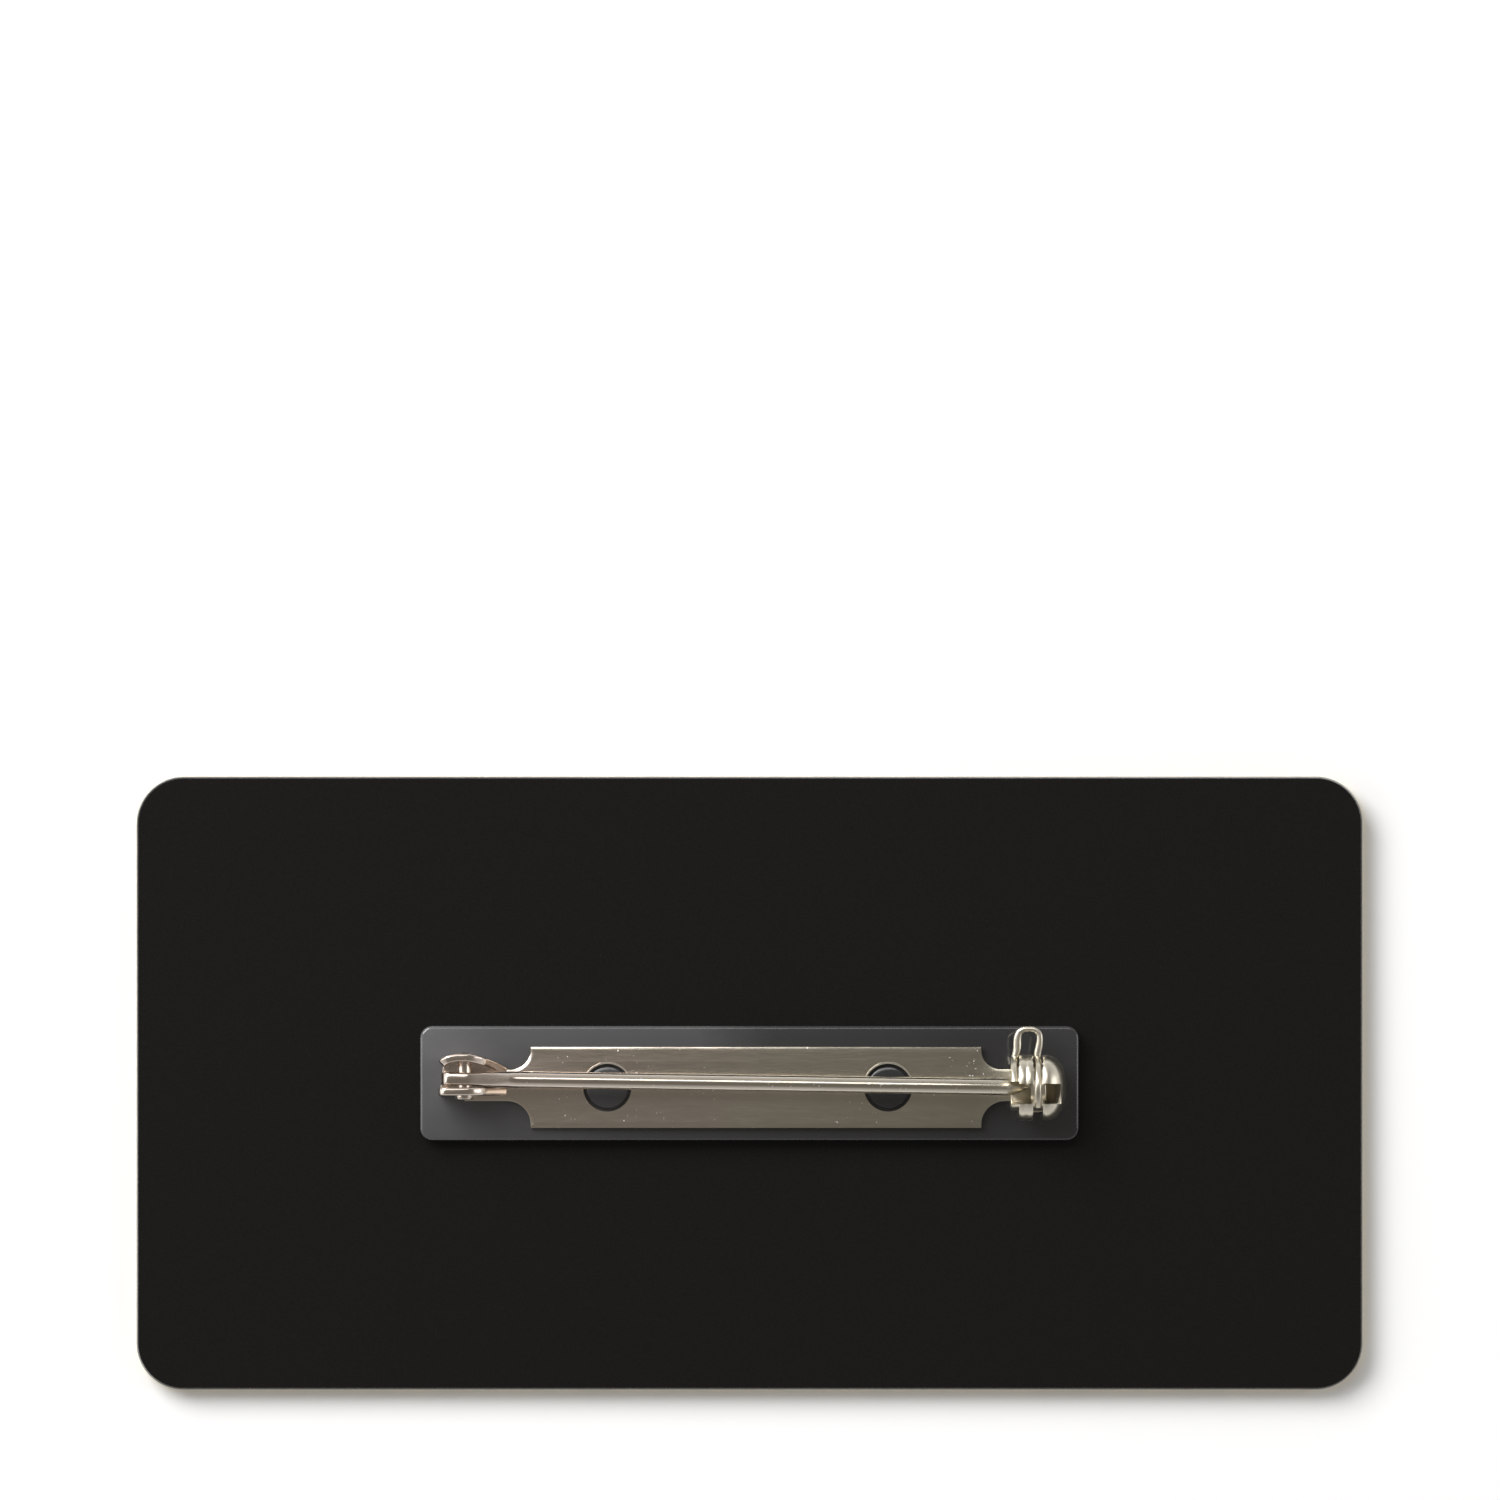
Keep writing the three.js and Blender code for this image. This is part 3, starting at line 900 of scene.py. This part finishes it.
def pin_wire():
    """The needle: a flat eye about the rivet that narrows into a round wire with a point."""
    length = tip - hinge.x
    drift = (TIP_SHIFT - hinge.y) / length
    point_x = length - POINT_LENGTH
    reach = math.hypot(EYE_TAIL, NEEDLE_RADIUS)
    slope = math.atan2(NEEDLE_RADIUS, EYE_TAIL) + math.acos(EYE_RADIUS / reach)
    touch_x, touch_z = EYE_RADIUS * math.cos(slope), EYE_RADIUS * math.sin(slope)
    end = smooth(EYE_END, 3)
    places = [
        *(point.x for point in end),
        *evenly(0, touch_x, 4),
        *evenly(touch_x, EYE_TAIL, 10),
        *(EYE_TAIL + step for step in WIRE_RINGS),
        point_x - WIRE_RINGS[1],
        point_x,
        *(length - POINT_LENGTH * (1 - i / 8) for i in range(1, 8)),
        length - POINT_CUT,
    ]

    def half_height(x):
        if x <= touch_x:
            return math.sqrt(max(EYE_RADIUS**2 - x**2, POINT_RADIUS**2))
        if x <= EYE_TAIL:
            return touch_z + (NEEDLE_RADIUS - touch_z) * (x - touch_x) / (EYE_TAIL - touch_x)
        left = length - x
        if left >= POINT_LENGTH:
            return NEEDLE_RADIUS
        return max(NEEDLE_RADIUS * (left / POINT_LENGTH) ** POINT_POWER, POINT_RADIUS)

    rings = []
    for i, x in enumerate(places):
        swage = min(max((x - SWAGE_START) / (EYE_TAIL - SWAGE_START), 0), 1)
        swage = swage * swage * (3 - 2 * swage)
        top = end[i].y if i < len(end) else half_height(x)
        bottom = -half_height(x)
        up = (top - bottom) / 2
        across = EYE_THICKNESS / 2 + (NEEDLE_RADIUS - EYE_THICKNESS / 2) * swage
        across = min(across, up) if x > EYE_TAIL else across
        power = EYE_POWER - (EYE_POWER - NEEDLE_POWER) * swage
        rings.append([
            (hinge.x + x, hinge.y + drift * x + u, hinge.z + (top + bottom) / 2 + v)
            for u, v in oval(across, up, power, 32)
        ])
    radius = RIVET_RADIUS + RIVET_GAP
    bore = [(0, -CUT_PAST), (radius, -CUT_PAST), (radius, CUT_PAST), (0, CUT_PAST)]
    return combine(loft("pin_wire", rings), [turned("bore", bore, "Y", hinge, 48)], "DIFFERENCE")


def hinge_rivet():
    """The rivet, with a low domed head outside the plain ear and a nearly flush end in the other."""
    low = plain_ear_y - hinge.y - SHEET / 2 - HEAD_GAP
    high = BULGE_DEPTH + RIVET_RISE - pin_place.y / MM - hinge.y
    head = low - HEAD_HEIGHT
    profile = [
        (0, head),
        *((RIVET_HEAD - inward, head + rise) for inward, rise in HEAD_EDGE),
        (RIVET_HEAD, low),
        (RIVET_RADIUS, low),
        *((RIVET_RADIUS * share, high - drop) for share, drop in RIVET_EDGE),
        (0, high),
    ]
    return turned("hinge_rivet", profile, "Y", hinge, 48)


# The badge

def paint(piece, material):
    piece.data.materials.clear()
    piece.data.materials.append(material)


def dress_node(name, material, bevel):
    """A CAD node with its material, its edges rounded a little."""
    piece = frame["nodes"][name]
    paint(piece, material)
    piece.modifiers.new("weld", "WELD").merge_threshold = WELD * MM
    dissolve = piece.modifiers.new("flat faces", "DECIMATE")
    dissolve.decimate_type = "DISSOLVE"
    dissolve.angle_limit = math.radians(FLAT_ANGLE)
    add_bevel(piece, bevel * MM, NODE_ROUND_ANGLE)


def finish_piece(piece, body, node, material):
    """Puts a piece in its place on the badge, with its material and body."""
    piece.data.transform(Matrix.Translation(pin_place) @ Matrix.Scale(MM, 4))
    paint(piece, material)
    piece.data.shade_smooth()
    piece.data.set_sharp_from_angle(angle=math.radians(SHARP_ANGLE))
    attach(piece, body)
    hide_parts(node)


metal = nickel()
dress_node("face_plate", gold_metal(), FACE_EDGE)
dress_node("back_plate", black_plastic(), BACK_EDGE)
finish_piece(pad_piece(), "badge", "pad", clear_plastic())
finish_piece(stamped_bar(), "badge", "pin_bar", metal)
finish_piece(hinge_rivet(), "badge", "rivet", metal)
finish_piece(pin_wire(), "needle", "needle", metal)
finish_piece(turning_ring(), "lock", "catch_lock", metal)


# Stage. Places and sizes are in metres, the lights' power in watts.

FLOOR_HALF = 3.0
LIGHTS = [
    ("key", (-0.44, 0.44, 0.60), (0.52, 0.52), 7.2),
    ("strip", (-0.10, 0.34, 0.84), (0.60, 0.20), 1.1),
    ("left card", (-0.80, 0.0, 0.40), (0.32, 0.60), 1.0),
    ("right card", (0.80, 0.10, 0.40), (0.32, 0.60), 1.0),
]
SKY = [
    (0.0, (1.0, 1.0, 1.0)), (0.04, (0.66, 0.66, 0.66)), (0.5, (0.52, 0.52, 0.52)),
    (0.82, (0.20, 0.19, 0.175)), (1.0, (0.165, 0.155, 0.14)),
]


def add_floor():
    mesh = bpy.data.meshes.new("floor")
    corners = [(x * FLOOR_HALF, y * FLOOR_HALF, 0) for x, y in ((-1, -1), (1, -1), (1, 1), (-1, 1))]
    mesh.from_pydata(corners, [], [(0, 1, 2, 3)])
    mesh.materials.append(paper_floor())
    floor = new_object("floor", mesh)


def area_light(name, spot, size, power):
    """A rectangular light that points at the badge."""
    data = bpy.data.lights.new(name, "AREA")
    data.shape = "RECTANGLE"
    data.size, data.size_y = size
    data.energy = power
    light = new_object(name, data)
    light.location = spot
    light.rotation_euler = (-Vector(spot)).to_track_quat("-Z", "Y").to_euler()


def sky():
    """A studio that is light near the floor and dark overhead."""
    world = bpy.data.worlds.new("studio")
    bpy.context.scene.world = world
    world.use_nodes = True
    tree = world.node_tree
    tint = ramp(tree, coordinates(tree, "Generated")["Z"], SKY)
    background = tree.nodes["Background"]
    feed(tree, background.inputs["Color"], tint)
    feed(tree, background.inputs["Strength"], 1.0)


def add_camera():
    """Straight above, with the plate as long in the frame as in the photograph."""
    pixel = (cad_high.x - cad_low.x) / PLATE_PIXELS
    distance = pixel * FRAME_PIXELS * LENS / SENSOR
    right = (FRAME_PIXELS / 2 - BADGE_CENTRE_PIXELS[0]) * pixel
    up = (BADGE_CENTRE_PIXELS[1] - FRAME_PIXELS / 2) * pixel
    data = bpy.data.cameras.new("camera")
    data.lens = LENS
    data.sensor_width = SENSOR
    camera = new_object("camera", data)
    camera.location = (right, up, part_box("back_plate")[0].z + distance)
    bpy.context.scene.camera = camera


add_floor()
sky()
for light in LIGHTS:
    area_light(*light)
add_camera()
bpy.context.scene.view_settings.view_transform = "Standard"
